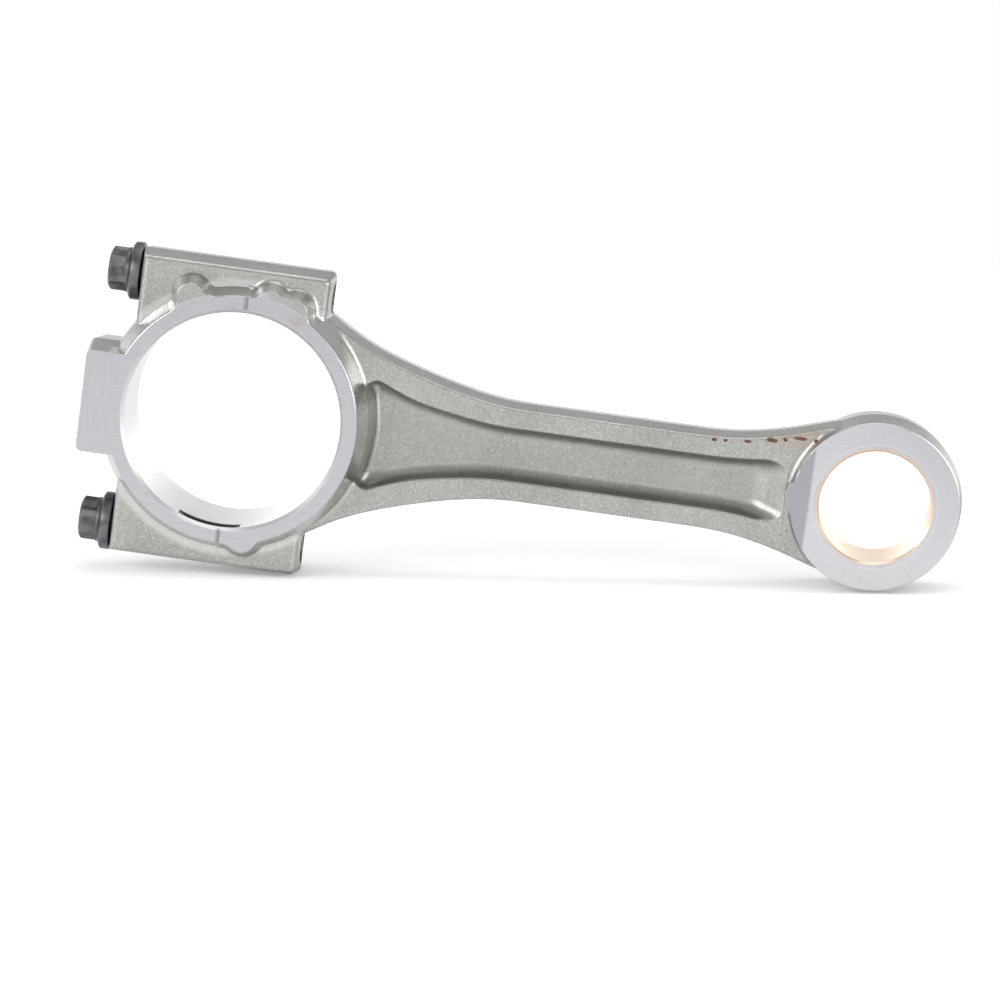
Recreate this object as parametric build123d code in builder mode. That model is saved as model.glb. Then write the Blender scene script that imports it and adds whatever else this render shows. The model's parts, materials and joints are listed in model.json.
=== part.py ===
"""Connecting rod of a medium diesel engine: forged rod, bolted cap, two cap bolts, small-end bush.

Frame: origin at the centre of the big-end bore, +X along the rod to the small end, +Y along the
bores, +Z up. The rod and cap are mirror images about the mid-plane y = 0. Millimetres.
"""
import math
import os

from build123d import *

os.makedirs("parts", exist_ok=True)

# ---- driving dimensions -------------------------------------------------------------------
centre_distance = 219.0

big_half_width = 20.0          # machined side faces of the big end
housing_radius = 36.8          # bore for the crank bearing shells
bore_chamfer = 1.1
ring_radius = 42.3             # edge of the machined side faces
ring_draft = 20.0              # slope of the wall under that edge
ring_base_level = 10.0         # inside the beam and the bosses
joint_break = 0.8              # broken edges of the joint on the side faces
joint_overlap = 6.0            # how far each half runs past the joint before it is trimmed

boss_half_height = 52.2        # bolt bosses, at the mid-plane
boss_half_width = 13.0
boss_draft = 5.0
seat_x = -38.0                 # seat of the bolt heads
shoulder_x = 28.0              # other end of the bosses
crown_radius = 45.9            # outside of the cap between boss and pad
crown_level = 10.0             # where that outside meets the slope of the ring

pad_x = -52.9                  # balance pad on the cap
pad_half_height = 18.8
pad_draft = 4.0

beam_half_width = 10.5         # faces of the I-beam flanges
beam_draft = 5.0
beam_waist = 16.6              # half height of the straight middle, at the mid-plane
pocket_floor = 3.7             # half thickness of the web
pocket_waist = 9.2
pocket_wall_run = 1.6          # how far the pocket walls lean in
pocket_ramp_run = 10.0         # how far its small-end ramp leans in
pocket_radius = 3.2            # foot of the pocket walls
pocket_end_corner = 5.0        # its corners at the small end
pocket_ring_corner = 3.5       # its corners beside the ring
pocket_ramp_radius = 14.0      # foot of the ramp
rim_radius = 1.0               # worn edges of the flanges

small_radius = 29.7            # small end, at the mid-plane
small_draft = 4.0
wedge_start_x = 197.0          # the wedge faces begin here
wedge_half_start = 15.5
wedge_half_at_pin = 13.9
bush_outer_radius = 21.1
bush_inner_radius = 19.05
bush_chamfer = 0.6

bolt_z = 43.5
bolt_radius = 5.5
bolt_hole_radius = 5.58
bolt_tip_x = 24.0
bolt_tip_chamfer = 0.8
flange_radius = 9.9
flange_thickness = 3.2
head_radius = 7.4
head_thickness = 8.0

relief_cutter_radius = 20.0    # disc cutter for the shells' locating tangs
relief_centre = (-2.0, -18.4)
relief_near = 12.9
relief_width = 6.0
foot_radius = 2.0              # where a raised feature meets the face below it
worn_edge = 0.5                # broken edges of the machined faces
edge_radius = 2.0              # forged edges of the bosses

# outlines of one side of the beam and of its pocket, as (x, half height)
beam_to_big_end = [(26, 39.2), (39.3, 31.3), (59.4, 23.7), (79.6, 18.6), (99.7, beam_waist)]
beam_to_small_end = [(150, beam_waist), (170, 17.25), (190, 21.4), (213, 27.6)]
pocket_to_big_end = [(46.5, 19.4), (60, 14.1), (70, 11.9), (80, 10.3), (95, pocket_waist)]
pocket_behind_ring = (39.5, 14.3)
pocket_end_half_height = 24.0  # wide enough to bury its own sides in the beam
pocket_to_small_end = [(160, pocket_waist), (172, 9.7), (188.8, 11.8)]

# tip of the flat milled face of the small end, standing over the end of the pocket
tongue_base_level = 6.0
tongue_root_x = 195.0
tongue_tip = [(191.5, 5.4), (189.4, 4.2), (188.2, 1.5), (188.6, -1.5), (190, -5), (192, -7.4)]

lug_valley_radius = 1.5        # between lugs and ring, at the foot of the slope

# forged lugs beside the machined ring, as (x, z, radius)
cap_lugs = [(-19.0, 40.0, 4.6)]
rod_lugs = [(8.0, 41.0, 4.5), (16.5, 39.5, 4.4), (8.0, -39.5, 5.0)]

wedge_slope = (wedge_half_start - wedge_half_at_pin) / (centre_distance - wedge_start_x)
wedge_far_x = centre_distance + small_radius + 5
wedge_far_half = wedge_half_start - wedge_slope * (wedge_far_x - wedge_start_x)


def front(level):
    """Plane parallel to XZ at y = -level, facing the front, with its y axis along +Z."""
    return Plane.XZ.offset(level)


def grown(level, draft):
    """How much wider a drafted outline is at this distance below its top."""
    return level * math.tan(math.radians(draft))


def mirrored(points):
    """The same points below the rod's axis, in the opposite order."""
    return [(x, -z) for x, z in reversed(points)]


def waisted_outline(level, big_end_side, small_end_side, slopes, inset, end_inset, closing=()):
    """Closed outline, symmetric about X: a curve, a straight waist and a curve on each side.

    closing holds the corners, if any, on the way round its big end.
    """
    upper = [(x, z - inset) for x, z in big_end_side]
    lower = [(x, z - inset) for x, z in small_end_side]
    lower[-1] = (lower[-1][0] - end_inset, lower[-1][1])
    big_slope, small_slope = slopes
    with BuildSketch(front(level)) as outline:
        with BuildLine():
            Spline(*upper, tangents=((1, -big_slope), (1, 0)))
            Line(upper[-1], lower[0])
            Spline(*lower, tangents=((1, 0), (1, small_slope)))
            Line(lower[-1], (lower[-1][0], -lower[-1][1]))
            Spline(*mirrored(lower), tangents=((-1, small_slope), (-1, 0)))
            Line(mirrored(lower)[-1], mirrored(upper)[0])
            Spline(*mirrored(upper), tangents=((-1, 0), (-1, -big_slope)))
            Polyline(mirrored(upper)[-1], *mirrored(closing), *closing, upper[0])
        make_face()
    return outline.sketch


def beam():
    """Front half of the I-beam with its pocket."""
    slopes = (0.62, 0.16)
    drop = grown(beam_half_width, beam_draft)
    root = waisted_outline(0, beam_to_big_end, beam_to_small_end, slopes, 0, 0)
    face = waisted_outline(beam_half_width, beam_to_big_end, beam_to_small_end, slopes, drop, 0)
    with BuildPart() as half_beam:
        loft([root, face], ruled=True)
    return half_beam.part


def pocket():
    """The pocket on the front of the beam, as the solid that is cut away."""
    slopes = (0.42, 0.22)
    corner = [pocket_behind_ring]
    mouth_level = beam_half_width + 0.5
    floor = waisted_outline(
        pocket_floor,
        pocket_to_big_end,
        pocket_to_small_end,
        slopes,
        pocket_wall_run,
        pocket_ramp_run,
        corner,
    )
    mouth = waisted_outline(
        mouth_level, pocket_to_big_end, pocket_to_small_end, slopes, 0, 0, corner
    )
    with BuildPart() as hollow:
        loft([floor, mouth], ruled=True)
        fillet(edges_at(hollow, pocket_floor, (170, 190), (0, 1)), pocket_ramp_radius)
        corners = hollow.edges().filter_by(lambda e: abs(e.tangent_at(0.5).Y) > 0.3)
        fillet(corners.filter_by(lambda e: 178 < e.center().X < 195), pocket_end_corner)
        corners = hollow.edges().filter_by(lambda e: abs(e.tangent_at(0.5).Y) > 0.3)
        fillet(corners.filter_by(lambda e: 42 < e.center().X < 50), pocket_ring_corner)
        wall_feet = edges_at(hollow, pocket_floor, (0, 200), (1, 30))
        fillet(wall_feet + edges_at(hollow, pocket_floor, (0, 60), (0, 1)), pocket_radius)
    return hollow.part


def boss_block(x_low, x_high, rounded_x):
    """Front half of the two bolt bosses: one tall drafted block across the big end."""
    with BuildSketch(front(0)) as outline:
        with Locations(((x_low + x_high) / 2, 0)):
            Rectangle(x_high - x_low, 2 * boss_half_height)
    with BuildPart() as block:
        extrude(outline.sketch, amount=boss_half_width, taper=boss_draft)
        split(bisect_by=Plane.YZ, keep=Keep.TOP if rounded_x > 0 else Keep.BOTTOM)
        corners = block.edges().filter_by(lambda e: abs(e.tangent_at(0.5).Y) > 0.9)
        if rounded_x > 0:
            fillet(corners.group_by(Axis.X)[-1], edge_radius)
        top_edges = block.faces().filter_by(Axis.Y).sort_by(Axis.Y)[0].edges()
        outer = top_edges.filter_by(lambda e: abs(e.center().X) > 1)
        fillet(outer, edge_radius)
    return block.part


def side_ring(side, lugs, base_level):
    """Half of the proud machined ring with its forged lugs, from base_level to the side face.

    side is +1 for the rod's half and -1 for the cap's; each runs a little past the joint.
    """
    rise = big_half_width - base_level
    spread = grown(rise, ring_draft)
    with BuildSketch(front(base_level)) as outline:
        Circle(ring_radius + spread)
        for x, z, radius in lugs:
            with Locations((x, z)):
                Circle(radius + spread)
        with Locations((side * (ring_radius - joint_overlap), 0)):
            Rectangle(2 * ring_radius, 4 * ring_radius, mode=Mode.INTERSECT)
        valleys = outline.vertices().filter_by(lambda v: side * v.X > 0)
        fillet(valleys, lug_valley_radius)
    with BuildPart() as ring:
        extrude(outline.sketch, amount=rise, taper=ring_draft)
    return ring.part


def pocket_end():
    """The ring's slope carried down to the floor of the pocket."""
    base_level = pocket_floor - 1
    rise = big_half_width - base_level
    with BuildSketch(front(base_level)) as outline:
        Circle(ring_radius + grown(rise, ring_draft))
    with BuildPart() as slope:
        extrude(outline.sketch, amount=rise, taper=ring_draft)
        with BuildSketch(Plane.XZ) as middle:
            Rectangle(4 * ring_radius, 2 * pocket_end_half_height)
        extrude(middle.sketch, amount=big_half_width, mode=Mode.INTERSECT)
    return slope.part


def small_end():
    """Front half of the small end: a drafted boss cut to its wedge face."""
    near_x = centre_distance - small_radius - 5
    with BuildSketch(Plane.XY) as above_wedge:
        with BuildLine():
            Polyline(
                (near_x, -wedge_half_start),
                (wedge_start_x, -wedge_half_start),
                (wedge_far_x, -wedge_far_half),
                (wedge_far_x, -2 * big_half_width),
                (near_x, -2 * big_half_width),
                close=True,
            )
        make_face()
    with BuildSketch(front(0)) as outline:
        with Locations((centre_distance, 0)):
            Circle(small_radius)
    with BuildPart() as boss:
        extrude(outline.sketch, amount=wedge_half_start + 1, taper=small_draft)
        extrude(above_wedge.sketch, amount=small_radius + 5, both=True, mode=Mode.SUBTRACT)
        rim = boss.edges().filter_by(lambda e: e.geom_type != GeomType.LINE)
        fillet(rim.filter_by(lambda e: e.center().Y < -beam_half_width), worn_edge)
    return boss.part


def tongue():
    """The tip of the small end's flat face, down into the end of the pocket."""
    roots = [(tongue_root_x, tongue_tip[-1][1]), (tongue_root_x, tongue_tip[0][1])]
    with BuildSketch(front(tongue_base_level)) as outline:
        with BuildLine():
            Polyline(*tongue_tip, *roots, close=True)
        make_face()
    with BuildPart() as tip:
        extrude(outline.sketch, amount=wedge_half_start - tongue_base_level)
    return tip.part


def chamfered_bore(radius, chamfer_size, half_length):
    """A bore along Y with a chamfer at both ends, as the solid that is cut away."""
    with BuildSketch(Plane.XY) as section:
        with BuildLine():
            Polyline(
                (0, -half_length - chamfer_size),
                (radius + 2 * chamfer_size, -half_length - chamfer_size),
                (radius, -half_length + chamfer_size),
                (radius, half_length - chamfer_size),
                (radius + 2 * chamfer_size, half_length + chamfer_size),
                (0, half_length + chamfer_size),
                close=True,
            )
        make_face()
    with BuildPart() as bore:
        revolve(section.sketch, axis=Axis.Y)
    return bore.part


def tang_relief():
    """Run-out of the disc cutter that makes room for the locating tangs of the shells."""
    with BuildSketch(front(relief_near)) as disc:
        with Locations(relief_centre):
            Circle(relief_cutter_radius)
    with BuildPart() as relief:
        extrude(disc.sketch, amount=relief_width)
    return relief.part


def drill(z, x_low, x_high, radius):
    """A bolt hole between two places along the rod, as the solid that is cut away."""
    with BuildSketch(Plane.YZ.offset(x_low)) as circle:
        with Locations((0, z)):
            Circle(radius)
    with BuildPart() as hole:
        extrude(circle.sketch, amount=x_high - x_low)
    return hole.part


def joint_groove():
    """The V left where the joint edges of both halves are broken on the machined side faces."""
    bottom = big_half_width - joint_break
    with BuildSketch(Plane.XY) as section:
        with BuildLine():
            Polyline(
                (0, -bottom),
                (2 * joint_break, -bottom - 2 * joint_break),
                (-2 * joint_break, -bottom - 2 * joint_break),
                close=True,
            )
        make_face()
    with BuildPart() as groove:
        extrude(section.sketch, amount=boss_half_height, both=True)
    return groove.part


def edges_at(half, level, x_range, height_range):
    """Edges at one distance in front of the mid-plane whose middles lie in ranges of X and |Z|."""

    def chosen(edge):
        middle = edge.center()
        at_level = abs(middle.Y + level) < 0.1
        in_x = x_range[0] < middle.X < x_range[1]
        return at_level and in_x and height_range[0] <= abs(middle.Z) < height_range[1]

    return half.edges().filter_by(chosen)


def round_ring_edge(half):
    """Break the outer edge of the machined ring and its lugs."""
    rim = half.edges().filter_by(GeomType.CIRCLE)
    fillet(rim.filter_by(lambda e: abs(e.center().Y + big_half_width) < 0.1), worn_edge)


crank_bore = chamfered_bore(housing_radius, bore_chamfer, big_half_width)
shell_relief = tang_relief()
broken_joint = joint_groove()


# ---- rod ----------------------------------------------------------------------------------
rod_beam = beam()
rod_pocket = pocket()
rod_small_end = small_end()
rod_tongue = tongue()
rod_bosses = boss_block(-shoulder_x, shoulder_x, 1)
rod_side_ring = side_ring(1, rod_lugs, ring_base_level)
rod_pocket_end = pocket_end()
rod_bolt_holes = [
    drill(side * bolt_z, -1, shoulder_x + 1, bolt_hole_radius) for side in (1, -1)
]

with BuildPart() as rod_ring:
    add(rod_side_ring)
    add(rod_pocket_end)

with BuildPart() as rod:
    add(rod_beam)
    add(rod_pocket, mode=Mode.SUBTRACT)
    fillet(edges_at(rod, beam_half_width, (27, 205), (0, 30)), rim_radius)
    add(rod_small_end)
    fillet(edges_at(rod, beam_half_width, (188, 192), (0, 5)), foot_radius)
    add(rod_tongue)
    add(rod_bosses)
    shoulder = rod.edges().filter_by(lambda e: 26 < e.center().X < 29 and e.center().Y < -1)
    fillet(shoulder.filter_by(lambda e: 30 < abs(e.center().Z) < 39), foot_radius)
    add(rod_ring.part)
    ring_feet = edges_at(rod, beam_half_width, (34, 40), (20, 30))
    fillet(ring_feet + edges_at(rod, pocket_floor, (46, 50), (0, 1)), foot_radius)
    round_ring_edge(rod)
    split(bisect_by=Plane.YZ, keep=Keep.TOP)
    add(broken_joint, mode=Mode.SUBTRACT)
    mirror(about=Plane.XZ)
    add(crank_bore, mode=Mode.SUBTRACT)
    add(shell_relief, mode=Mode.SUBTRACT)
    with BuildSketch(Plane.XZ) as eye:
        with Locations((centre_distance, 0)):
            Circle(bush_outer_radius)
    extrude(eye.sketch, amount=big_half_width, both=True, mode=Mode.SUBTRACT)
    add(rod_bolt_holes, mode=Mode.SUBTRACT)

rod.part.label = "rod"
export_step(rod.part, "parts/rod.step")


# ---- cap ----------------------------------------------------------------------------------
def crown():
    """Front half of the cap's outside between the bosses and the pad."""
    with BuildSketch(front(0)) as outline:
        Circle(crown_radius + grown(crown_level, boss_draft))
    with BuildPart() as shell:
        extrude(outline.sketch, amount=crown_level, taper=boss_draft)
    return shell.part


def balance_pad():
    """Front half of the balance pad, which is flush with the machined side face."""
    with BuildSketch(front(0)) as outline:
        with Locations((pad_x / 2, 0)):
            Rectangle(-pad_x, 2 * pad_half_height)
    with BuildPart() as pad:
        extrude(outline.sketch, amount=big_half_width, taper=pad_draft)
        corners = pad.edges().filter_by(lambda e: abs(e.tangent_at(0.5).Y) > 0.9)
        fillet(corners.group_by(Axis.X)[0], edge_radius)
    return pad.part


cap_bosses = boss_block(seat_x, -seat_x, -1)
cap_crown = crown()
cap_ring = side_ring(-1, cap_lugs, crown_level)
cap_pad = balance_pad()
cap_bolt_holes = [drill(side * bolt_z, 2 * pad_x, 1, bolt_hole_radius) for side in (1, -1)]

with BuildPart() as cap:
    add(cap_bosses)
    add(cap_crown)
    add(cap_ring)
    round_ring_edge(cap)
    add(cap_pad)
    split(bisect_by=Plane.YZ, keep=Keep.BOTTOM)
    add(broken_joint, mode=Mode.SUBTRACT)
    mirror(about=Plane.XZ)
    add(crank_bore, mode=Mode.SUBTRACT)
    add(shell_relief, mode=Mode.SUBTRACT)
    add(cap_bolt_holes, mode=Mode.SUBTRACT)

cap.part.label = "cap"
export_step(cap.part, "parts/cap.step")


# ---- bolts --------------------------------------------------------------------------------
def cap_bolt(z):
    """Flanged bolt with a round stand-in for its twelve-point head, head towards -X."""
    flange_x = seat_x - flange_thickness
    head_x = flange_x - head_thickness
    with BuildSketch(Plane.XY) as section:
        with BuildLine():
            Polyline(
                (head_x, 0),
                (head_x, head_radius - bolt_tip_chamfer),
                (head_x + bolt_tip_chamfer, head_radius),
                (flange_x, head_radius),
                (flange_x + flange_thickness / 2, flange_radius),
                (seat_x, flange_radius),
                (seat_x, bolt_radius),
                (bolt_tip_x - bolt_tip_chamfer, bolt_radius),
                (bolt_tip_x, bolt_radius - bolt_tip_chamfer),
                (bolt_tip_x, 0),
                close=True,
            )
        make_face()
    with BuildPart() as bolt:
        revolve(section.sketch, axis=Axis.X)
    return Pos(0, 0, z) * bolt.part


placed_upper_bolt = cap_bolt(bolt_z)
with BuildPart() as upper_bolt:
    add(placed_upper_bolt)

upper_bolt.part.label = "upper_bolt"
export_step(upper_bolt.part, "parts/upper_bolt.step")

placed_lower_bolt = cap_bolt(-bolt_z)
with BuildPart() as lower_bolt:
    add(placed_lower_bolt)

lower_bolt.part.label = "lower_bolt"
export_step(lower_bolt.part, "parts/lower_bolt.step")


# ---- small-end bush -----------------------------------------------------------------------
def is_bush_mouth(edge):
    """True for the two rims of the bush's bore."""
    from_axis = math.hypot(edge.start_point().X - centre_distance, edge.start_point().Z)
    return abs(from_axis - bush_inner_radius) < 0.1 and edge.length > bush_inner_radius


with BuildPart() as small_end_bush:
    with BuildSketch(Plane.XZ):
        with Locations((centre_distance, 0)):
            Circle(bush_outer_radius)
            Circle(bush_inner_radius, mode=Mode.SUBTRACT)
    extrude(amount=big_half_width, both=True)
    for side in (1, -1):
        with BuildSketch(Plane.XY):
            with BuildLine():
                Polyline(
                    (wedge_start_x, -side * wedge_half_start),
                    (wedge_far_x, -side * wedge_far_half),
                    (wedge_far_x, -side * 2 * big_half_width),
                    (wedge_start_x, -side * 2 * big_half_width),
                    close=True,
                )
            make_face()
        extrude(amount=small_radius, both=True, mode=Mode.SUBTRACT)
    mouths = small_end_bush.edges().filter_by(is_bush_mouth)
    chamfer(mouths, bush_chamfer)

small_end_bush.part.label = "small_end_bush"
export_step(small_end_bush.part, "parts/small_end_bush.step")
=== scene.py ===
"""Looks of the connecting rod: forged and machined steel, black bolts and a bronze bush.

Metres, in the rod's own frame: origin at the centre of the big-end bore, +X to the small end,
+Y along the bores, +Z up.
"""
import json
import math

import bmesh
import bpy
import numpy as np
from mathutils import Matrix, Vector


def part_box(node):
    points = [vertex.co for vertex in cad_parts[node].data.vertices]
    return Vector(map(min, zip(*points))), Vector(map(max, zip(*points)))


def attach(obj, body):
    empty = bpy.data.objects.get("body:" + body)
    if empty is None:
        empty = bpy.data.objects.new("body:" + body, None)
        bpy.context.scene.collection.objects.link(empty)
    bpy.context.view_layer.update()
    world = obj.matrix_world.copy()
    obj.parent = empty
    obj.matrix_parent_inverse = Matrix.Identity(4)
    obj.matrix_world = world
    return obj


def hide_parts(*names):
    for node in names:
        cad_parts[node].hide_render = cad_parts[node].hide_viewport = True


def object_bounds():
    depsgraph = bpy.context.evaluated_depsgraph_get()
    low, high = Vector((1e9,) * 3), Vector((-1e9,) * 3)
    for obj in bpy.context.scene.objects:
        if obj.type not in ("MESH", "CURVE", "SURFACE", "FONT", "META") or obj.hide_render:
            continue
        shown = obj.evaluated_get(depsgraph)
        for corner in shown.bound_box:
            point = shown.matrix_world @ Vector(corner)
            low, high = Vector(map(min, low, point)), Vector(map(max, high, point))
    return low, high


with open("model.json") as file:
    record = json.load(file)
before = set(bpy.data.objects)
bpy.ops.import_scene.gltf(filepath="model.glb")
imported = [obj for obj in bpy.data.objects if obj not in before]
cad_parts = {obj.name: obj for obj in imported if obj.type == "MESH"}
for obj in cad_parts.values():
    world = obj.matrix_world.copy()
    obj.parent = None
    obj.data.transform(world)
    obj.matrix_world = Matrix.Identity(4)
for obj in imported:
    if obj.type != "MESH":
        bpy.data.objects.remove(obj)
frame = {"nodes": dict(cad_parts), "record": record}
cad_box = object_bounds()

MM = 0.001
BOLT_LENGTH = 62.0 * MM        # of a cap bolt, under its head
MOUNTS = {mount["name"]: mount for mount in frame["record"]["mounts"]}
PIN_X = MOUNTS["pin_bore"]["pos_m"][0]
SIDE_FACE = abs(MOUNTS["front_side"]["pos_m"][1])
SEAT_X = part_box("upper_bolt")[1].x - BOLT_LENGTH
BOLT_Z = (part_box("upper_bolt")[0].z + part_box("upper_bolt")[1].z) / 2


# ---- camera, floor and light --------------------------------------------------------------
CAMERA_PLACE = (0.15393, -1.69831, 0.28023)
CAMERA_RIGHT = (0.98979, 0.05847, 0.13000)
CAMERA_UP = (-0.13806, 0.16630, 0.97636)
CAMERA_LENS = 181.9

SHOULDER_X = 28.0 * MM         # end of the bolt bosses, with its rounded corner
CORNER_RADIUS = 2.0 * MM

FLOOR_FRONT = 0.9              # how far the floor goes to the front, the back and the left
FLOOR_RIGHT = 0.30             # and to the right, just past the small end
FLOOR_GAP = 0.2 * MM           # between the rod and the floor
FLOOR_ROWS = 25                # points along each side of the floor


def make_camera():
    """Long lens, a little above the rod and rolled so that the rod runs down to the right."""
    right, up = Vector(CAMERA_RIGHT), Vector(CAMERA_UP)
    back = right.cross(up).normalized()
    up = back.cross(right).normalized()
    data = bpy.data.cameras.new("camera")
    data.lens = CAMERA_LENS
    data.sensor_width = 36.0
    data.clip_start = 0.05
    data.clip_end = 50.0
    camera = bpy.data.objects.new("camera", data)
    bpy.context.scene.collection.objects.link(camera)
    turn = Matrix((right, up, back)).transposed().to_4x4()
    camera.matrix_world = Matrix.Translation(CAMERA_PLACE) @ turn
    bpy.context.scene.camera = camera


def link_mesh(name, points, faces):
    """Smooth mesh object from arrays of points and of faces."""
    mesh = bpy.data.meshes.new(name)
    mesh.from_pydata(points.tolist(), [], faces.tolist())
    mesh.polygons.foreach_set("use_smooth", [True] * len(mesh.polygons))
    piece = bpy.data.objects.new(name, mesh)
    bpy.context.scene.collection.objects.link(piece)
    return piece


def resting_line():
    """Height at x = 0 and slope of the line that touches the lower boss's corner and the small end.

    It is the common tangent, from below, of the corner's rounding and the small end's circle.
    """
    rod_low, rod_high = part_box("rod")
    corner = Vector((SHOULDER_X - CORNER_RADIUS, 0, rod_low.z + CORNER_RADIUS))
    eye = Vector((PIN_X, 0, 0))
    between = eye - corner
    eye_radius = rod_high.x - PIN_X
    turn = math.asin((eye_radius - CORNER_RADIUS) / between.length)
    angle = math.atan2(between.z, between.x) - turn
    slope = math.tan(angle)
    return corner.z - corner.x * slope - CORNER_RADIUS / math.cos(angle), slope


def make_floor(name, gap):
    """Flat sheet under the rod: a grid over a rectangle that ends just past the small end."""
    height, slope = resting_line()
    x, y = np.meshgrid(
        np.linspace(-FLOOR_FRONT, FLOOR_RIGHT, FLOOR_ROWS),
        np.linspace(-FLOOR_FRONT, FLOOR_FRONT, FLOOR_ROWS),
    )
    z = height - gap + slope * x
    index = np.arange(x.size).reshape(x.shape)
    low, high = index[:-1], index[1:]
    faces = np.stack([low[:, :-1], low[:, 1:], high[:, 1:], high[:, :-1]], -1).reshape(-1, 4)
    floor = link_mesh(name, np.stack([x, y, z], -1).reshape(-1, 3), faces)
    return floor


def area_light(name, place, target, width, height, power):
    """Rectangular soft light at a place, facing a target."""
    data = bpy.data.lights.new(name, "AREA")
    data.shape = "RECTANGLE"
    data.size, data.size_y = width, height
    data.energy = power
    lamp = bpy.data.objects.new(name, data)
    lamp.location = place
    lamp.visible_camera = False
    lamp.rotation_mode = "QUATERNION"
    lamp.rotation_quaternion = (Vector(target) - Vector(place)).to_track_quat("-Z", "Y")
    bpy.context.scene.collection.objects.link(lamp)


# ---- shader expressions -------------------------------------------------------------------
class Wire:
    """A socket with arithmetic: an expression on wires adds the Math nodes it needs."""

    def __init__(self, shader, socket):
        self.shader = shader
        self.socket = socket

    def _math(self, operation, *values):
        return self.shader.node("ShaderNodeMath", {"operation": operation}, dict(enumerate(values)))

    def __add__(self, other):
        return self._math("ADD", self, other)

    __radd__ = __add__

    def __mul__(self, other):
        return self._math("MULTIPLY", self, other)

    __rmul__ = __mul__

    def __sub__(self, other):
        return self._math("SUBTRACT", self, other)

    def __rsub__(self, other):
        return self._math("SUBTRACT", other, self)

    def __truediv__(self, other):
        return self._math("DIVIDE", self, other)

    def __gt__(self, other):
        return self._math("GREATER_THAN", self, other)

    def __lt__(self, other):
        return self._math("LESS_THAN", self, other)

    def __abs__(self):
        return self._math("ABSOLUTE", self)

    def most(self, other):
        return self._math("MAXIMUM", self, other)

    def root(self):
        return self._math("SQRT", self)

    def ramp(self, low, high):
        """0 below low, 1 above high, smooth between; low may be the larger."""
        return self.shader.node(
            "ShaderNodeMapRange",
            {"interpolation_type": "SMOOTHSTEP"},
            {"Value": self, "From Min": low, "From Max": high},
            "Result",
        )


class Shader:
    """A material under construction, with one method for any node."""

    def __init__(self, name):
        self.material = bpy.data.materials.new(name)
        self.material.use_nodes = True
        self.tree = self.material.node_tree
        self.tree.nodes.clear()
        self.place = self.node("ShaderNodeTexCoord", {}, {}, "Object")
        split = self.node("ShaderNodeSeparateXYZ", {}, {0: self.place}, None)
        self.x = Wire(self, split.outputs["X"]) / MM
        self.y = Wire(self, split.outputs["Y"]) / MM
        self.z = Wire(self, split.outputs["Z"]) / MM

    def node(self, kind, settings, inputs, output=0):
        """Add a node: settings first, then values or wires by socket; give one output as a wire."""
        made = self.tree.nodes.new(kind)
        for setting, value in settings.items():
            setattr(made, setting, value)
        for key, value in inputs.items():
            if isinstance(value, Wire):
                self.tree.links.new(value.socket, made.inputs[key])
            else:
                made.inputs[key].default_value = value
        return made if output is None else Wire(self, made.outputs[output])

    def noise(self, scale, detail=3.0, roughness=0.5, distortion=0.0, place=None, seed=0.0):
        """Fractal noise about 0.5, in cycles per metre; seed picks another pattern."""
        return self.node(
            "ShaderNodeTexNoise",
            {"noise_dimensions": "4D"},
            {
                "Vector": place or self.place,
                "W": seed,
                "Scale": scale,
                "Detail": detail,
                "Roughness": roughness,
                "Distortion": distortion,
            },
            "Fac",
        )

    def cells(self, scale, seed=0.0):
        """Distance to the nearest of scattered points."""
        return self.node(
            "ShaderNodeTexVoronoi",
            {"voronoi_dimensions": "4D"},
            {"Vector": self.place, "W": seed, "Scale": scale},
            "Distance",
        )

    def vector(self, x, y, z):
        return self.node("ShaderNodeCombineXYZ", {}, {"X": x, "Y": y, "Z": z})

    def blend(self, amount, first, second):
        """Colour that goes from first to second."""
        return self.node(
            "ShaderNodeMix",
            {"data_type": "RGBA"},
            {0: amount, 6: first, 7: second},
            2,
        )

    def bump(self, height, depth, below=None):
        """Normal for a height in -1..1 times depth in metres."""
        inputs = {"Height": height, "Strength": 1.0, "Distance": depth}
        if below is not None:
            inputs["Normal"] = below
        return self.node("ShaderNodeBump", {}, inputs, "Normal")

    def surface(self, **inputs):
        """Principled surface to the output; names use _ for the space."""
        values = {name.replace("_", " "): value for name, value in inputs.items()}
        shade = self.node("ShaderNodeBsdfPrincipled", {}, values)
        self.node("ShaderNodeOutputMaterial", {}, {"Surface": shade}, None)
        return self.material


def rgb(red, green, blue):
    return (red, green, blue, 1.0)


# ---- steel --------------------------------------------------------------------------------
# all lengths in the materials are in millimetres
BORE = MOUNTS["crank_bore"]["dims"]["r_mm"]
SIDE = SIDE_FACE / MM
RING_EDGE = 43.0               # outside of the ground ring round the big end
JOINT_FLAT = (-13.0, 7.8)      # x range of the flats that are ground beside the joint
PAD_START = -36.0              # x from which the balance pad's side is ground
PAD_LINES = -42.0              # x from which its cutter marks run across
SEAT_START, SEAT_INNER = -37.2, 30.0   # bolt seats: x limit, and least distance from the middle
WEDGE_START = 197.0            # the small end's flats lean in from here to the end of the rod
WEDGE_SLOPE = 0.0727
WEDGE_HALF = 15.5
WEDGE_NEAR = 186.0             # the tips of the flats' tongues lie past this x
SMALL_END_EDGE = 29.5          # just past the small end's circle
PIN_WALL = 21.3                # radius below which the small end's bore is bored
NOTCH_DEPTHS = (12.8, 18.8)    # range of y of the relief behind the bore's chamfer
NOTCH_TOP = -30.0
POCKET_X = (44.0, 189.0)

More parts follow.
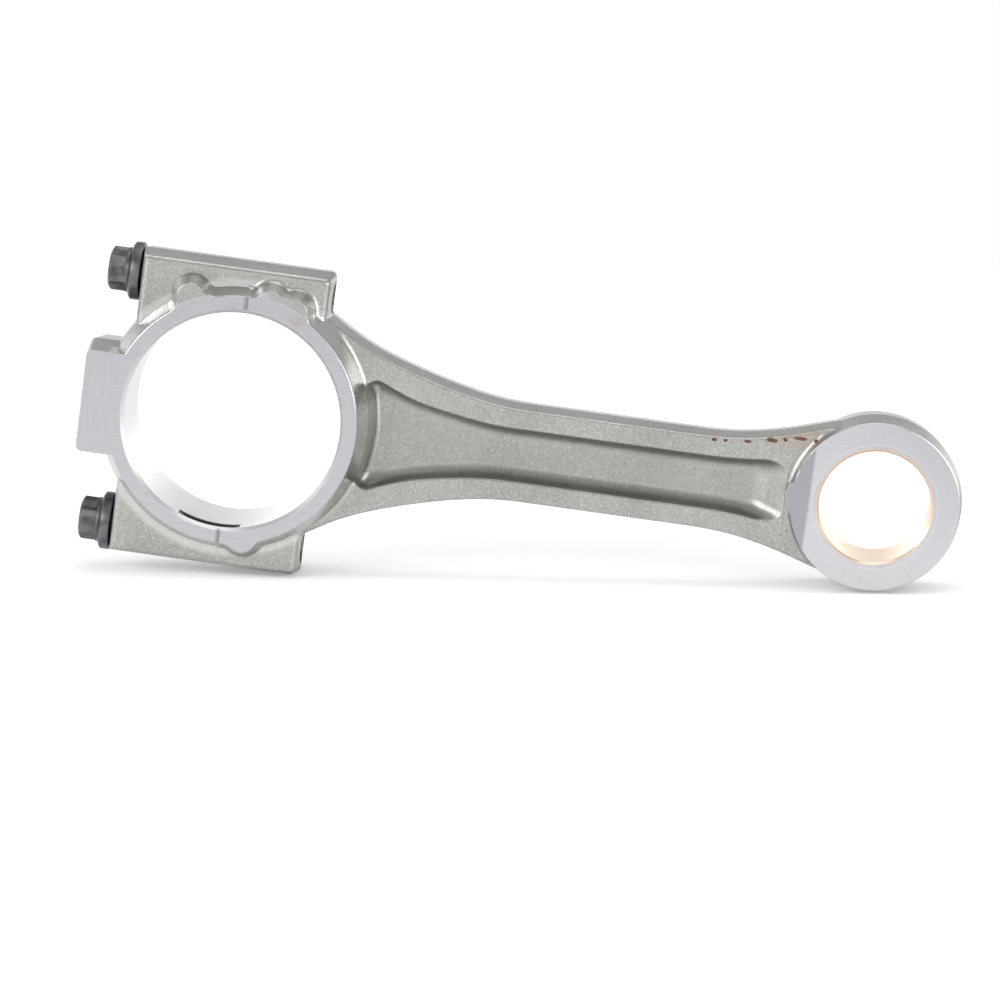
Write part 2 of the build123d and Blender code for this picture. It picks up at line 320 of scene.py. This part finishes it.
SKIN_DARK = rgb(0.355, 0.35, 0.33)
SKIN_LIGHT = rgb(0.425, 0.42, 0.40)
GRAIN_LIGHT = rgb(0.68, 0.68, 0.66)
GRAIN_DARK = rgb(0.19, 0.19, 0.175)
POCKET_PAINTED_SHADE = rgb(0.30, 0.285, 0.27)
CORNER_PAINTED_SHADE = rgb(0.13, 0.125, 0.115)
SLOPE_PAINTED_HIGHLIGHT = rgb(0.66, 0.66, 0.64)
RUST_DARK = rgb(0.055, 0.022, 0.012)
RUST_LIGHT = rgb(0.17, 0.075, 0.035)
RUST_HAZE = rgb(0.42, 0.28, 0.18)
CUT_DARK = rgb(0.43, 0.43, 0.455)
CUT_LIGHT = rgb(0.53, 0.53, 0.555)
CUT_CLOUD = rgb(0.50, 0.51, 0.51)
SMALL_END_FLAT = rgb(0.62, 0.62, 0.64)
TONGUE_FLAT = rgb(0.36, 0.36, 0.385)
BORED_WALL = rgb(0.68, 0.68, 0.695)
STAIN = rgb(0.42, 0.30, 0.20)
NOTCH_PAINTED_SHADE = rgb(0.13, 0.125, 0.12)

SPECK_HALF_HEIGHT = 0.65
RUST_SPECKS = [                # x, z and half length of each
    (162.0, 14.9, 0.9),
    (166.0, 15.1, 0.7),
    (173.5, 15.8, 1.1),
    (181.5, 17.3, 1.8),
    (186.0, 18.1, 0.8),
    (191.0, 19.2, 2.2),
    (196.3, 19.1, 0.7),
]


def near(wire, value, half_width):
    """1 where the wire is within half_width of value, with a soft edge."""
    return abs(wire - value).ramp(half_width, half_width * 0.6)


def steel_masks(s):
    """Where the blanks are machined.

    Ground side faces, bored walls, joint and seat faces, the tongue's flat, the shell notch.
    """
    depth = abs(s.y)
    from_crank = (s.x * s.x + s.z * s.z).root()
    pin_x = s.x - PIN_X / MM
    from_pin = (pin_x * pin_x + s.z * s.z).root()
    on_side = depth.ramp(SIDE - 0.75, SIDE - 0.5)
    beside_joint = (s.x > JOINT_FLAT[0]) * (s.x < JOINT_FLAT[1])
    lower_half = s.z < 0.0
    inside_ring = from_crank.ramp(RING_EDGE + 0.5, RING_EDGE)
    pad = s.x < PAD_START
    ground = on_side * inside_ring.most(beside_joint).most(lower_half).most(pad)
    wedge_level = WEDGE_HALF - (s.x - WEDGE_START).most(0.0) * WEDGE_SLOPE
    in_small_end = (s.x > WEDGE_NEAR) * (from_pin < SMALL_END_EDGE)
    wedge = (depth - wedge_level).ramp(-0.45, -0.3) * in_small_end
    notch = (from_crank > BORE + 0.15) * (from_crank < BORE + 1.9) * (s.z < NOTCH_TOP)
    notch = notch * (depth > NOTCH_DEPTHS[0]) * (depth < NOTCH_DEPTHS[1]) * (s.y < 0.0)
    bored = (from_crank < BORE + 1.15).most(from_pin < PIN_WALL) * (1.0 - notch)
    tongue = wedge * s.x.ramp(WEDGE_START - 0.3, WEDGE_START - 0.7)
    joint = near(s.x, 0.0, 0.08)
    seat = (s.x < SEAT_START) * (abs(s.z) > SEAT_INNER)
    return ground.most(wedge) * (1.0 - bored), bored, joint.most(seat), tongue, notch


def steel(name):
    """Shot-blasted forging, with ground side faces, bored walls, milled seats and rust; painted
    shade in the pocket and in corners, and a painted highlight on the ring's slope.
    """
    s = Shader(name)
    ground, bored, milled, tongue, notch = steel_masks(s)
    cut = ground.most(bored).most(milled)
    depth = abs(s.y)

    # the blasted skin: broad forging waves, orange peel and fine grain, with a few pits
    wave = s.noise(95.0, 2.0, 0.5, seed=1.0)
    peel = s.noise(700.0, 3.0, 0.6, seed=2.0)
    grain = s.noise(2300.0, 2.0, 0.7, seed=3.0)
    pits = s.cells(330.0, seed=4.0).ramp(0.16, 0.06) * s.noise(60.0, 1.0, seed=5.0).ramp(0.52, 0.62)
    skin = wave * 0.55 + peel * 0.28 + grain * 0.22 - pits * 0.25

    # cutter marks: straight on the side faces, rings of feed on the bored walls
    pad_lines = s.noise(1.0, 3.0, 0.6, place=s.vector(s.x * 3.2, s.y, s.z * 0.06), seed=6.0)
    ring_lines = s.noise(1.0, 3.0, 0.7, place=s.vector(s.x * 0.10, s.y, s.z * 2.6), seed=7.0)
    feed = s.noise(1.0, 2.0, 0.6, place=s.vector(s.x * 0.05, s.y * 4.5, s.z * 0.05), seed=8.0)
    on_pad = s.x < PAD_LINES
    side_lines = pad_lines * on_pad + ring_lines * (1.0 - on_pad)
    lines = side_lines * (1.0 - bored) + feed * bored

    # colour of the skin: warm and greenish patches, and painted shade that darkens the pocket and
    # the corners
    patch = s.noise(38.0, 4.0, 0.65, 0.4, seed=9.0)
    fleck = s.noise(1500.0, 2.0, 0.75, seed=10.0)
    skin_colour = s.blend(patch.ramp(0.3, 0.7), SKIN_DARK, SKIN_LIGHT)
    skin_colour = s.blend(fleck.ramp(0.53, 0.70) * 0.7, skin_colour, GRAIN_LIGHT)
    skin_colour = s.blend(fleck.ramp(0.47, 0.30) * 0.55, skin_colour, GRAIN_DARK)
    pocket_height = 12.2 + (75.0 - s.x).most(0.0) * 0.3
    in_pocket = depth.ramp(9.6, 6.0) * (abs(s.z) < pocket_height)
    in_pocket = in_pocket * (s.x > POCKET_X[0]) * (s.x < POCKET_X[1])
    # painted shade: the pocket is darker
    skin_colour = s.blend(in_pocket * 0.3, skin_colour, POCKET_PAINTED_SHADE)
    # painted shade: darker where the ambient occlusion node finds corners and creases
    corner = s.node(
        "ShaderNodeAmbientOcclusion", {"samples": 8}, {"Distance": 4.5 * MM}, "AO"
    )
    skin_colour = s.blend(corner.ramp(0.85, 0.42) * 0.65, skin_colour, CORNER_PAINTED_SHADE)

    # painted highlight: the sloping wall round the machined ring is lighter, and a little smoother
    from_crank = (s.x * s.x + s.z * s.z).root()
    slope = from_crank.ramp(42.2, 43.0) * from_crank.ramp(48.5, 46.5) * depth.ramp(19.7, 19.0)
    slope = slope * depth.ramp(10.2, 11.5)
    skin_colour = s.blend(slope * 0.6, skin_colour, SLOPE_PAINTED_HIGHLIGHT)

    # rust: specks in a row along the front upper edge near the small end, and a faint stain
    zone = s.x.ramp(170.0, 190.0) * s.x.ramp(203.0, 196.0) * s.z.ramp(14.0, 18.0)
    front = s.y < -6.0
    ragged = s.noise(330.0, 4.0, 0.75, seed=11.0) - 0.5
    rust = ragged.ramp(0.16, 0.24) * zone
    for speck_x, speck_z, half_length in RUST_SPECKS:
        along, across = (s.x - speck_x) / half_length, (s.z - speck_z) / SPECK_HALF_HEIGHT
        rust = rust.most(((along * along + across * across).root() + ragged * 2.2).ramp(1.15, 0.8))
    rust = rust * front
    haze = s.noise(60.0, 2.0, seed=12.0).ramp(0.4, 0.7) * zone * front * 0.35
    stain_x, stain_z = s.x - 17.5, s.z - 37.0
    stain = (stain_x * stain_x * 0.6 + stain_z * stain_z * 1.4).root().ramp(3.4, 1.2)
    stain = stain * (s.y < -19.0) * s.noise(300.0, 3.0, 0.7, seed=13.0).ramp(0.35, 0.6)
    rust_colour = s.blend(fleck.ramp(0.35, 0.65), RUST_DARK, RUST_LIGHT)
    skin_colour = s.blend(haze, skin_colour, RUST_HAZE)
    skin_colour = s.blend(rust, skin_colour, rust_colour)

    # cut faces: cooler and brighter, with faint lines
    cloud = s.noise(110.0, 3.0, 0.6, seed=14.0)
    cut_colour = s.blend(lines.ramp(0.3, 0.7), CUT_DARK, CUT_LIGHT)
    cut_colour = s.blend(cloud.ramp(0.3, 0.7) * 0.35, cut_colour, CUT_CLOUD)
    cut_colour = s.blend((s.x > WEDGE_START) * 0.6, cut_colour, SMALL_END_FLAT)
    cut_colour = s.blend(tongue, cut_colour, TONGUE_FLAT)
    cut_colour = s.blend(bored, cut_colour, BORED_WALL)
    cut_colour = s.blend(stain * 0.55, cut_colour, STAIN)
    colour = s.blend(cut, skin_colour, cut_colour)
    # painted shade: the shell notch is near black
    colour = s.blend(notch, colour, NOTCH_PAINTED_SHADE)

    skin_roughness = 0.38 + (grain - 0.5) * 0.25 + rust * 0.3 - slope * 0.12
    cut_roughness = 0.30 + (lines - 0.5) * 0.22 + bored * 0.04
    roughness = skin_roughness * (1.0 - cut) + cut_roughness * cut
    normal = s.bump(skin * (1.0 - cut), 0.2 * MM)
    normal = s.bump(lines * cut, 0.006 * MM, normal)
    return s.surface(
        Base_Color=colour, Metallic=1.0 - 0.85 * rust, Roughness=roughness, Normal=normal
    )


def bronze(name):
    """Steel-backed bearing bronze: a grey shell with a warm lining, and fine feed rings."""
    s = Shader(name)
    pin_x = s.x - PIN_X / MM
    from_pin = (pin_x * pin_x + s.z * s.z).root()
    lining = from_pin.ramp(19.85, 19.65)
    feed = s.noise(1.0, 2.0, 0.6, place=s.vector(s.x * 0.05, s.y * 5.0, s.z * 0.05), seed=1.0)
    cloud = s.noise(70.0, 3.0, 0.6, seed=2.0)
    warm = s.blend(cloud.ramp(0.3, 0.7), rgb(0.86, 0.66, 0.50), rgb(0.92, 0.76, 0.60))
    warm = s.blend(feed.ramp(0.55, 0.8) * 0.35, warm, rgb(0.72, 0.46, 0.30))
    shell = s.blend(cloud.ramp(0.3, 0.7), rgb(0.52, 0.51, 0.525), rgb(0.60, 0.59, 0.60))
    roughness = 0.33 + (feed - 0.5) * 0.2
    return s.surface(
        Base_Color=s.blend(lining, shell, warm),
        Metallic=1.0,
        Roughness=roughness,
        Normal=s.bump(feed, 0.006 * MM),
    )


def black_oxide(name):
    """Oiled black-oxide bolt steel: near black, with forging texture and paler patches."""
    s = Shader(name)
    cloud = s.noise(260.0, 4.0, 0.65, seed=1.0)
    grain = s.noise(2600.0, 2.0, 0.7, seed=2.0)
    colour = s.blend(cloud.ramp(0.35, 0.7), rgb(0.11, 0.11, 0.115), rgb(0.20, 0.20, 0.205))
    roughness = 0.38 + (cloud - 0.5) * 0.3
    return s.surface(
        Base_Color=colour, Metallic=1.0, Roughness=roughness, Normal=s.bump(grain, 0.02 * MM)
    )


# ---- bolts --------------------------------------------------------------------------------
HEAD_TOP = -49.2 * MM
HEAD_ROWS = 30
POINT_RADIUS = 7.5 * MM
CONE_RADIUS = 6.0 * MM         # of the cone that trims the points, at the head's free end
CONE_SLOPE = 1.6
COLLAR_X = -43.4 * MM
FLANGE_TOP = -42.0 * MM
SHANK_RADIUS = 5.0 * MM
THREAD_RADIUS = 5.5 * MM
THREAD_DEPTH = 0.85 * MM
THREAD_PITCH = 1.5 * MM
THREAD_SLOPE = 2.3             # above 2 the crests are flat; the roots always are
THREAD_ROWS = 10               # in one turn of the thread
THREAD_START = 2.0 * MM
TIP_X = 24.0 * MM
THREAD_END = TIP_X - 0.9 * MM
TIP_CHAMFER = 0.8 * MM
TIP_RADIUS = 4.0 * MM
TURN_STEPS = 144               # points round the bolt
WELD_GAP = 0.002 * MM
SHARP_EDGE = math.radians(35)

# turned profiles: distance along the axis and radius, in millimetres
HEAD_DISH = [(0.9, 0.0), (0.9, 3.2), (0.81, 3.7), (0.09, 4.4), (0.0, 4.8)]   # from HEAD_TOP
COLLAR = [(0.0, 7.0), (0.1, 7.6)]                                            # from COLLAR_X
FLANGE_BACK = [                                                              # from FLANGE_TOP
    (-0.4, 7.7),
    (-0.1, 8.0),
    (0.0, 8.5),
    (0.1, 8.9),
    (0.75, 9.8),
    (0.95, 9.9),
]
FLANGE_FACE = [(-0.4, 9.9), (-0.1, 9.6), (0.0, 9.3)]                         # from SEAT_X


def twelve_points(turn):
    """Radius of two hexagons turned by 30 degrees, 1 at the points.

    Each hexagon's radius is cos 30 / cos of the angle to the middle of its nearest flat.
    """
    sector = math.pi / 3
    hexagon = np.cos(sector / 2) / np.cos(turn % sector - sector / 2)
    other = np.cos(sector / 2) / np.cos((turn + sector / 2) % sector - sector / 2)
    return np.maximum(hexagon, other)


def bolt_surface(turn):
    """Rows of (x, radius over the turn) from the head's middle to the tip.

    The head is the twelve-point radius, trimmed by a cone at its free end; flange and shank are
    round; the thread is a triangular wave, cut flat, of turn / 2 pi - x / pitch.
    """
    rows = []

    def ring(x, radius):
        rows.append((x, np.broadcast_to(radius, turn.shape)))

    def turned(start, profile):
        for along, radius in profile:
            ring(start + along * MM, radius * MM)

    turned(HEAD_TOP, HEAD_DISH)
    points = POINT_RADIUS * twelve_points(turn)
    for x in np.linspace(HEAD_TOP, COLLAR_X, HEAD_ROWS):
        ring(x, np.minimum(points, CONE_RADIUS + (x - HEAD_TOP) * CONE_SLOPE))
    turned(COLLAR_X, COLLAR)
    turned(FLANGE_TOP, FLANGE_BACK)
    turned(SEAT_X, FLANGE_FACE)
    ring(SEAT_X, SHANK_RADIUS)
    ring(THREAD_START - 1.0 * MM, SHANK_RADIUS)
    for x in np.arange(THREAD_START, THREAD_END, THREAD_PITCH / THREAD_ROWS):
        phase = (turn / (2 * math.pi) - x / THREAD_PITCH) % 1.0
        ridge = np.clip(THREAD_SLOPE * (0.5 - np.abs(2 * phase - 1)), 0, 1)
        depth = THREAD_DEPTH * min(1.0, (x - THREAD_START) / THREAD_PITCH)
        ring(x, THREAD_RADIUS - depth * (1 - ridge))
    ring(TIP_X - TIP_CHAMFER, THREAD_RADIUS - THREAD_DEPTH)
    ring(TIP_X, TIP_RADIUS)
    ring(TIP_X, 0.0)
    return np.array([x for x, _ in rows]), np.stack([radius for _, radius in rows])


def make_bolt(name, node, body, axis_z, finish):
    """Cap bolt: the bolt surface turned about an axis along X at one height."""
    turn = np.linspace(0, 2 * math.pi, TURN_STEPS + 1)[:-1]
    x, radius = bolt_surface(turn)
    points = np.stack(
        [
            np.broadcast_to(x[:, None], radius.shape),
            radius * np.sin(turn),
            axis_z + radius * np.cos(turn),
        ],
        -1,
    )
    index = np.arange(radius.size).reshape(radius.shape)
    after = np.roll(index, -1, axis=1)
    faces = np.stack([index[:-1], index[1:], after[1:], after[:-1]], -1).reshape(-1, 4)
    bolt = link_mesh(name, points.reshape(-1, 3), faces)
    weld(bolt)
    bolt.data.materials.append(finish)
    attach(bolt, body)
    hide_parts(node)


def weld(piece):
    """Close poles and seams and turn all faces outwards, keeping hard edges sharp."""
    mesh = bmesh.new()
    mesh.from_mesh(piece.data)
    bmesh.ops.remove_doubles(mesh, verts=mesh.verts, dist=WELD_GAP)
    bmesh.ops.recalc_face_normals(mesh, faces=mesh.faces)
    for edge in mesh.edges:
        edge.smooth = not (edge.is_manifold and edge.calc_face_angle(0.0) > SHARP_EDGE)
    mesh.to_mesh(piece.data)
    mesh.free()


# ---- the object ---------------------------------------------------------------------------
def finish_node(node, material):
    """Give a CAD node its finish."""
    piece = frame["nodes"][node]
    piece.data.materials.clear()
    piece.data.materials.append(material)


make_camera()
bolt_finish = black_oxide("black_oxide")
finish_node("rod", steel("rod_steel"))
finish_node("cap", steel("cap_steel"))
finish_node("small_end_bush", bronze("bush_bronze"))
make_bolt("upper_cap_bolt", "upper_bolt", "upper_bolt", BOLT_Z, bolt_finish)
make_bolt("lower_cap_bolt", "lower_bolt", "lower_bolt", -BOLT_Z, bolt_finish)


# ---- studio -------------------------------------------------------------------------------
WHITE = rgb(1.0, 1.0, 1.0)
ROOM_GREY = rgb(0.58, 0.58, 0.59)
FLOOR_GLOW = 0.22


def floor_finish():
    """Matt white board, faintly lit from below."""
    s = Shader("white_board")
    fibre = s.noise(400.0, 3.0, seed=1.0)
    colour = s.blend(fibre, rgb(0.90, 0.90, 0.90), rgb(0.93, 0.93, 0.93))
    return s.surface(
        Base_Color=colour,
        Roughness=0.9,
        Specular_IOR_Level=0.1,
        Emission_Color=WHITE,
        Emission_Strength=FLOOR_GLOW,
    )


def light_sheet():
    """White glowing sheet under the board, so that its underside isn't a dark bar."""
    s = Shader("light_sheet")
    return s.surface(
        Base_Color=rgb(0.0, 0.0, 0.0), Emission_Color=WHITE, Emission_Strength=1.0
    )


def make_world():
    """White to the camera, and an even grey room for all that the metal mirrors."""
    world = bpy.data.worlds.new("room")
    world.use_nodes = True
    bpy.context.scene.world = world
    tree = world.node_tree
    tree.nodes.clear()
    output = tree.nodes.new("ShaderNodeOutputWorld")
    seen = tree.nodes.new("ShaderNodeBackground")
    seen.inputs["Color"].default_value = WHITE
    room = tree.nodes.new("ShaderNodeBackground")
    room.inputs["Color"].default_value = ROOM_GREY
    path = tree.nodes.new("ShaderNodeLightPath")
    mix = tree.nodes.new("ShaderNodeMixShader")
    tree.links.new(path.outputs["Is Camera Ray"], mix.inputs[0])
    tree.links.new(room.outputs[0], mix.inputs[1])
    tree.links.new(seen.outputs[0], mix.inputs[2])
    tree.links.new(mix.outputs[0], output.inputs["Surface"])


make_floor("floor", FLOOR_GAP).data.materials.append(floor_finish())
make_floor("floor_light_sheet", 5 * FLOOR_GAP).data.materials.append(light_sheet())
make_world()
# place, width, height and power of each soft light; all face the middle of the rod
LIGHTS = {
    "left_softbox": ((-1.3, -1.05, 0.5), 1.4, 0.7, 17.0),
    "right_softbox": ((1.5, -1.05, 0.5), 1.4, 0.7, 17.0),
    "front_fill": ((0.1, -1.6, 0.5), 0.8, 0.5, 1.5),
    "top_softbox": ((0.1, 0.1, 1.4), 1.0, 1.0, 5.5),
    "backdrop": ((0.1, 2.0, 0.13), 3.4, 0.5, 7.5),
}
middle = cad_box[0].lerp(cad_box[1], 0.5)
for light, (place, width, height, power) in LIGHTS.items():
    area_light(light, place, middle, width, height, power)

bpy.context.scene.view_settings.view_transform = "Standard"
